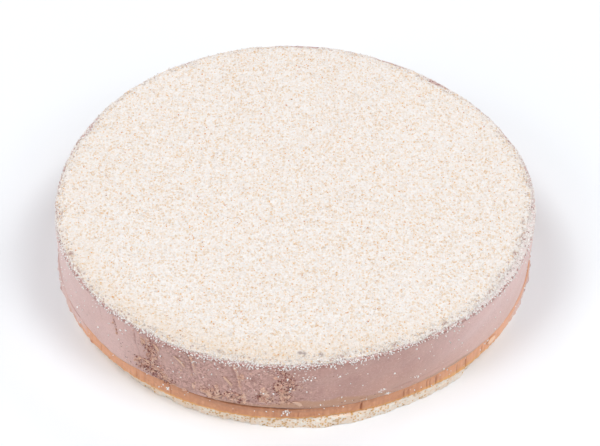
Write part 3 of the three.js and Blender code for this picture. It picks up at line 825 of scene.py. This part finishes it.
def bedMaterial():
    material, tree = newMaterial("fine crumb bed")
    edge, rim = fromMesh(tree, "edge"), fromMesh(tree, "rim")
    cells = specks(tree, 0.8, 1.0, 0.9, output="Chance")
    colour = mixColours(tree, span(tree, cells, 0.35, 0.75), crumb["white"], crumb["cream"])
    masks = allSpecks(tree, crumb)
    for name, (size, share, *shape) in crumb["edgeSpecks"].items():
        share = span(tree, edge, 0, 1, share, share + crumb["edgeMore"])
        masks[name] = specks(tree, size, share, *shape)
    colour = layOver(tree, colour, crumb, masks)
    # painted shade in the gaps between the grains near the edge, and in the bare spots
    shadedGaps = specks(tree, 1.3, times(tree, rim, 0.34), 0.7, 4.4)
    bare = calculate(tree, "MAXIMUM", times(tree, shadedGaps, 0.8), fromMesh(tree, "bare"))
    colour = mixColours(tree, bare, colour, mixColours(tree, rim, crumb["hollowShade"], crumb["gapShade"]))
    return finishMaterial(material, colour, crumb["roughness"], mottle(tree, 0.5, 0.7), depth=0.15,
                          specular=0.2)


def sixSidedRings(count):  # triangles of rings of 6, 12, 18 ... points about a middle point
    faces = []
    first = [0] + [1 + 3 * level * (level - 1) for level in range(1, count + 2)]
    for level in range(1, count + 1):
        inner, outer = first[level - 1], first[level]
        innerCount, outerCount = max(1, 6 * (level - 1)), 6 * level
        side, step = np.divmod(np.arange(outerCount), level)
        outside = outer + side * level + step
        outsideNext = outer + (side * level + step + 1) % outerCount
        inside = inner + (side * (level - 1) + step) % innerCount
        faces.append(np.stack([outside, outsideNext, inside], axis=-1))
        more = step < level - 1
        insideNext = inner + (side * (level - 1) + step + 1) % innerCount
        faces.append(np.stack([outsideNext, insideNext, inside], axis=-1)[more])
    return np.concatenate(faces), first[count]


def bedMasks(points):
    angle, radius = polar(points)
    inside = crumbRadius(angle) - radius
    edge = 1 - fade(inside + bumps(points, crumb["warmWander"]), 0, crumb["warmer"])
    margin, wander = wallRadius(angle) - radius, bumps(points, crumb["bareWander"])
    away = [apart(angle, margin, at, inset, 1.6 * wide, wide) for at, inset, wide in crumb["bare"]]
    bare = 1 - fade(np.minimum.reduce(away) + wander, *crumb["bareEdge"])
    return {"edge": patches(crumb["warmerFrom"], angle) * edge, "bare": bare,
            "rim": 1 - fade(inside + bumps(points, crumb["gapWander"]), *crumb["gappy"])}


def makeCrumbBed():
    draw = np.random.default_rng(crumb["seed"])
    count = crumb["rings"]
    topFaces, lastRing = sixSidedRings(count)
    level = np.concatenate([[0]] + [np.full(6 * ring, ring) for ring in range(1, count + 1)])
    angle = [np.arange(6 * ring) * fullTurn / (6 * ring) for ring in range(1, count + 1)]
    angle = np.concatenate([[0]] + angle)
    inner = level < count
    flat = around(crumbRadius(angle) * level / count, angle, 0)[:, :2]
    flat = flat + (crumb["jitter"] * draw.uniform(-1, 1, (2, len(level))) * inner).T
    angle, radius = polar(flat)
    heights = crumbHeight(angle, radius) + crumb["grain"] * draw.uniform(-1, 1, len(level)) * inner
    top = np.column_stack([flat, heights])
    floor = [0, 0, crumbBase - crumb["sunk"]]
    points = np.concatenate([top, top[lastRing:] * [1, 1, 0] + floor, [floor]])
    rim, base = np.arange(6 * count), len(top)
    after = np.roll(rim, -1)
    edge = fourSided(base + rim, base + after, lastRing + after, lastRing + rim)
    under = np.stack([base + after, base + rim, np.full(len(rim), len(points) - 1)], axis=-1)
    faces = np.concatenate([topFaces, edge, under])

    # the top fills the sheet; the underside and the edge lie in two corners that it leaves free
    spots = points[faces][..., :2] / (2 * crumb["sheetHalf"]) + 0.5
    corner, past = crumb["corner"], len(topFaces) + len(edge)
    spots[len(topFaces):] = corner + sheetGap + (spots[len(topFaces):] - 0.5) * 2 * corner
    turn, _ = polar(points[edge])
    ring = np.where(edge >= base, 0.93, 0.99) * corner
    spots[len(topFaces):past, :, 0] = 1 - corner - sheetGap + ring * np.cos(turn)
    spots[len(topFaces):past, :, 1] = corner + sheetGap + ring * np.sin(turn)
    meshPiece("crumb_bed", "crumb_topping", "crumb", points, faces, spots.reshape(-1, 2),
              bedMaterial(), bedMasks(points), smooth=False)


makeCrumbBed()

grains = {
    "kinds": [  # name, how many, half size from and to, first and second colour
        ("crumb_grains_cream", 15000, 0.32, 0.5, crumb["white"], crumb["cream"]),
        ("crumb_grains_rim", 4400, 0.34, 0.5, crumb["snow"], (216, 204, 194)),
        ("crumb_grains_golden", 7500, 0.34, 0.54, (236, 217, 194), (228, 197, 160)),
        ("crumb_grains_toasted", 600, 0.28, 0.46, (230, 184, 126), (210, 142, 106)),
        ("crumb_grains_dark", 30, 0.28, 0.42, (180, 124, 98), (134, 78, 58)),
    ],
    "past": 0.8,  # how far single grains lie past the edge of the bed
    "seed": 70,
}


def makeGrains():
    for number, (name, count, small, large, *colours) in enumerate(grains["kinds"]):
        draw = np.random.default_rng(grains["seed"] + number)
        angle = draw.uniform(0, fullTurn, count)
        if name == "crumb_grains_rim":
            angle = angle[draw.random(count) < 0.2 + whiteness(angle)]
            radius = crumbRadius(angle) + grains["past"] - crumb["whiter"] * draw.random(len(angle))
        else:  # the other grains keep off the whiter edge
            reach = crumbRadius(angle) - 0.5 * crumb["whiter"] * whiteness(angle)
            radius = reach * np.sqrt(draw.random(count))
        sizes = draw.uniform(small, large, len(angle))
        heights = crumbHeight(angle, radius) + draw.uniform(-0.1, 0.35, len(angle)) * sizes
        grainPiece(name, "crumb_topping", "crumb", around(radius, angle, heights), sizes, colours, draw)


makeGrains()


# Loose crumbs on the bare margin, over the rim and on the wall

dust = {
    "seed": 80,
    "perArea": 1.8,  # grains on each square millimetre where they lie thickest
    "small": 0.28, "large": 0.52,
    "down": 5,  # how far down the wall they reach
    "onCrumb": 2.4,  # how far in over the crumb
    "onWall": [(-95, 14, 0.3), (-65, 16, 0.1)],
    "thin": [  # where fewer grains lie on the bare margin: middle, half width, how many fewer
        (-142, 16, -0.4), (-70, 20, -0.4), (-14, 9, -0.1), (2, 8, -0.6), (66, 9, 1), (50, 4.5, 1.3),
        (43, 3.5, -0.6), (34.5, 3, 1.2), (30, 2.5, -0.4), (23, 5, 1.2), (16, 2.5, -0.4), (10, 4, 1),
        (95, 15, 0.9), (155, 30, 1),
    ],
    "clumps": [(4, 1, 81), (1.5, 0.9, 82)],
    "colours": ((250, 248, 247), (232, 225, 221)),
}


def makeRimDust():
    draw = np.random.default_rng(dust["seed"])
    width = max(swell[2] for swell in outline["crumbBays"]) + outline["crumbMargin"] + dust["onCrumb"]
    tries = int(dust["perArea"] * fullTurn * outline["radius"] * (width + dust["down"]))
    angle = draw.uniform(0, fullTurn, tries)
    path = draw.uniform(-dust["down"], width, tries)
    inset, height, outward = overRim(path)
    place = around(wallRadius(angle) - inset, angle, height)
    bare = wallRadius(angle) - inset - crumbRadius(angle)  # how far it lies outside the edge of the crumb
    onWall = (0.03 + patches(dust["onWall"], angle)) * np.exp(np.clip(path, None, 0) / 0.9)
    chance = np.where(path < 0, onWall, onWall + (1 - onWall) * fade(path, -0.4, 1.4))
    chance = chance * fade(bare, -dust["onCrumb"] * (0.2 + whiteness(angle)), -0.2)
    thin = swells(dust["thin"], angle) * (bare > -1)
    chance = chance * fade(bumps(place, dust["clumps"]), thin - 1.4, thin - 0.4)
    kept = draw.random(tries) < chance
    angle, path, outward, bare = angle[kept], path[kept], outward[kept], bare[kept]
    sizes = draw.uniform(dust["small"], dust["large"], len(angle))
    radius, height, _ = mousseSurface(angle, path)
    height = np.where(bare < 0, np.maximum(height, crumbHeight(angle, radius)), height)
    lift = draw.uniform(0.1, 0.8, len(angle)) * sizes
    places = around(radius + outward * lift, angle, height + (1 - outward) * lift)
    grainPiece("rim_dust", "mousse", "crumb", places, sizes, dust["colours"], draw)


makeRimDust()

wallCrumbs = {
    "seed": 90, "count": 540, "small": 0.28, "large": 0.66,
    "out": 0.35,  # how far they stand out of the wall, as a share of their size
    "clusters": [  # angle, height, how many, how far apart
        (-68, 19, 14, 1.3), (-66, 15, 9, 1), (-59, 20, 8, 1.2), (-90, 12, 16, 2.2), (-119, 12, 9, 1.6),
        (-86, 38, 16, 2), (-111, 41, 9, 1.2), (-131, 38, 6, 1.1), (-36, 14.5, 7, 0.9),
    ],
    "colours": ((255, 254, 253), (242, 238, 235)),
}


def makeWallCrumbs():
    draw = np.random.default_rng(wallCrumbs["seed"])
    tall = crumbBase - mousse["rimDrop"]
    angles = [draw.uniform(0, fullTurn, wallCrumbs["count"])]
    heights = [tall - (tall - caramelBase) * draw.random(wallCrumbs["count"]) ** 1.5]
    for at, middle, count, spread in wallCrumbs["clusters"]:
        angles.append(math.radians(at) + draw.normal(0, spread, count) / outline["radius"])
        heights.append(middle + draw.normal(0, 0.6 * spread, count))
    angle, height = np.concatenate(angles), np.concatenate(heights)
    sizes = wallCrumbs["small"] + (wallCrumbs["large"] - wallCrumbs["small"]) * draw.random(len(angle)) ** 2
    onMousse, _ = mousseRelief(angle, np.maximum(height, mousseBase))
    onCaramel, _ = caramelRelief(angle, np.clip(height, caramelBase, mousseBase))
    out = np.where(height > mousseBase, onMousse, onCaramel) + wallCrumbs["out"] * sizes
    places = around(wallRadius(angle) + out, angle, height)
    grainPiece("wall_crumbs", "mousse", "crumb", places, sizes, wallCrumbs["colours"], draw)


makeWallCrumbs()


# Flakes, torn clods of mousse, and dark grains of painted shade in its pits

flakes = {
    "curls": [  # top angle and height, bottom angle and height, width
        (-124.9, 27, -124, 25, 0.9), (-121.4, 28, -120.2, 24.5, 1.1), (-116.2, 25.5, -113.7, 20, 0.8),
        (-104.4, 20.7, -102.6, 15, 0.8), (-106.5, 3.5, -105, 6.5, 1.3), (-109, 6.5, -107.4, 3.6, 1.2),
        (-107.4, 3.6, -105.4, 3.2, 1.3), (-101.2, 6.6, -99.8, 9.6, 1.0), (-88.6, 6, -86.9, 2.4, 1.6),
        (-117.6, 2.6, -115.9, 3.6, 1.2), (-125, 11.5, -123.2, 10.7, 1.4), (-72.9, 0.6, -71.7, 1.1, 1.2),
    ],
    "thickness": 0.3, "lift": 0.5, "steps": 10, "across": 4,
    "colours": ((236, 202, 180), (214, 174, 152)),
    "seed": 95,
    "scatterFrom": (-137, -84), "scatterInset": (0.5, 2.5),  # angles, and clear of foot and rim
    "sunk": 0.1, "tries": 40,  # share of its size that one lies in the wall, and places tried for each
    "scatter": [  # name, how many, half size from and to, share of tan scraps and torn places, two colours
        ("mousse_clods", 560, 0.35, 0.95, 0.8, 0.25, (232, 196, 174), (194, 148, 134)),
        # dark grains that stand for the shade in the pits of the torn mousse: painted shade
        ("mousse_pit_shade", 560, 0.26, 0.55, 0.1, 0.8, (158, 102, 92), (122, 70, 62)),
    ],
}


def makeCurls():
    draw = np.random.default_rng(flakes["seed"])
    steps, across = flakes["steps"], flakes["across"]
    along, side = np.meshgrid(np.linspace(0, 1, steps), np.linspace(-1, 1, across), indexing="ij")
    grid = np.arange(steps * across).reshape(steps, across)
    upper = fourSided(grid[:-1, :-1], grid[:-1, 1:], grid[1:, 1:], grid[1:, :-1])
    loop = np.concatenate([grid[0, :-1], grid[:-1, -1], grid[-1, :0:-1], grid[:0:-1, 0]])
    after, under = np.roll(loop, -1), grid.size
    edge = fourSided(loop, loop + under, after + under, after)
    curlFaces = np.concatenate([upper, upper[:, ::-1] + under, edge])
    flat = np.stack([along, 0.5 + 0.45 * side], axis=-1).reshape(-1, 2) * 0.9 + 0.05
    flat = np.concatenate([flat, 0.1 + 0.8 * flat])
    points, faces, spots = [], [], []
    count = math.ceil(math.sqrt(len(flakes["curls"])))
    for number, (top, topHeight, bottom, bottomHeight, width) in enumerate(flakes["curls"]):
        bend = draw.uniform(-0.6, 0.6)
        halfWidth = 0.85 * width * (0.35 + 0.65 * np.sin(math.pi * (0.1 + 0.8 * along)))
        angle = np.radians(top + (bottom - top) * along) + side * halfWidth / outline["radius"]
        angle = angle + bend * np.sin(math.pi * along) / outline["radius"]
        height = mousseBase + topHeight + (bottomHeight - topHeight) * along + 0.25 * side * halfWidth
        relief, _ = mousseRelief(angle, height)
        lift = 0.1 + flakes["lift"] * (np.abs(2 * along - 1) ** 2 + 0.5 * side ** 2 * draw.uniform(0.3, 1))
        radius = wallRadius(angle) + relief.max() * 0.5 + relief * 0.5 + lift
        faces.append(curlFaces + number * 2 * under)
        points += [around(radius - down, angle, height).reshape(-1, 3) for down in (0, flakes["thickness"])]
        spots.append((flat[curlFaces].reshape(-1, 2) + [number % count, number // count]) / count)
    points, faces, spots = (np.concatenate(part) for part in (points, faces, spots))
    tone = np.repeat(draw.random(len(flakes["curls"])), 2 * under)
    material = grainMaterial("mousse curls", *flakes["colours"])
    meshPiece("mousse_curls", "mousse", "mousse", points, faces, spots, material, {"tone": tone})


makeCurls()


def makeClods():
    clear = flakes["scatterInset"]
    for number, (name, count, small, large, onTan, onTorn, *colours) in enumerate(flakes["scatter"]):
        draw = np.random.default_rng(flakes["seed"] + 1 + number)
        tries = flakes["tries"] * count
        angle = np.radians(draw.uniform(*flakes["scatterFrom"], tries))
        height = draw.uniform(mousseBase + clear[0], crumbBase - clear[1], tries)
        relief, masks = mousseRelief(angle, height)
        chance = onTan * masks["tan"] + onTorn * masks["torn"] * (1 - masks["tan"])
        kept = np.flatnonzero(draw.random(tries) < chance)[:count]
        angle, height = angle[kept], height[kept]
        sizes = small + (large - small) * draw.random(len(kept)) ** 2
        places = around(wallRadius(angle) + relief[kept] - flakes["sunk"] * sizes, angle, height)
        grainPiece(name, "mousse", "mousse", places, sizes, colours, draw, squash=0.55)


makeClods()


# Table, light and camera

studio = {
    "floor": 6.0, "floorColour": (245, 248, 252), "floorRoughness": 0.9,
    "lamps": [  # direction round the cake and up from the table, distance, width, height, power
        (-38, 30, 4.4, 1.6, 2.4, 32.5), (-23, 48, 4.4, 1.6, 2.4, 33.5), (-16, 66, 4.4, 1.8, 1.6, 46),
        (40, 36, 4.4, 1.4, 1.6, 35), (203, 48, 4.4, 1.6, 2.4, 16.5), (218, 30, 4.4, 1.6, 2.4, 49),
        (197, 66, 4.4, 1.8, 1.6, 41), (152, 52, 4.4, 1.6, 1.6, 32),
    ],
    "sky": 0.11,
}


def makeFloor():
    half = studio["floor"] / 2
    mesh = bpy.data.meshes.new("table")
    mesh.from_pydata([(x * half, y * half, 0) for x, y in ((-1, -1), (1, -1), (1, 1), (-1, 1))],
                     [], [(0, 1, 2, 3)])
    material, _ = newMaterial("pale table")
    finishMaterial(material, studio["floorColour"], studio["floorRoughness"], specular=0.1)
    mesh.materials.append(material)
    floor = bpy.data.objects.new("table", mesh)
    bpy.context.scene.collection.objects.link(floor)


def makeLight():
    for number, (turn, tilt, distance, width, tall, power) in enumerate(studio["lamps"]):
        lamp = bpy.data.lights.new(f"softbox_{number}", "AREA")
        lamp.shape = "RECTANGLE"
        lamp.size, lamp.size_y = width, tall
        lamp.energy = power
        box = bpy.data.objects.new(lamp.name, lamp)
        turn, tilt = math.radians(turn), math.radians(tilt)
        away = Vector((math.cos(turn) * math.cos(tilt), math.sin(turn) * math.cos(tilt), math.sin(tilt)))
        box.location = away * distance
        box.rotation_euler = away.to_track_quat("Z", "Y").to_euler()
        bpy.context.scene.collection.objects.link(box)
    world = bpy.data.worlds.new("pale room")
    world.use_nodes = True
    world.node_tree.nodes["Background"].inputs["Color"].default_value = (1, 1, 1, 1)
    world.node_tree.nodes["Background"].inputs["Strength"].default_value = studio["sky"]
    bpy.context.scene.world = world
    bpy.context.scene.view_settings.view_transform = "Standard"


makeFloor()
makeLight()
print("table and light made")

camera = {
    "target": (3.41, 24.341, 0), "distance": 1020.7, "tilt": 43.819, "roll": -1.799,
    "focus": 1763.5,  # focal length in pixels of a picture 600 wide
    "pictureWidth": 600, "sensor": 36,
}


def makeCamera():
    data = bpy.data.cameras.new("camera")
    data.sensor_width = camera["sensor"]
    data.lens = camera["focus"] * camera["sensor"] / camera["pictureWidth"]
    eye = bpy.data.objects.new("camera", data)
    tilted = Matrix.Rotation(math.radians(90 - camera["tilt"]), 4, "X")
    turned = tilted @ Matrix.Rotation(math.radians(-camera["roll"]), 4, "Z")
    back = Matrix.Translation((0, 0, camera["distance"] * mm))
    eye.matrix_world = Matrix.Translation(Vector(camera["target"]) * mm) @ turned @ back
    bpy.context.scene.collection.objects.link(eye)
    bpy.context.scene.camera = eye


makeCamera()
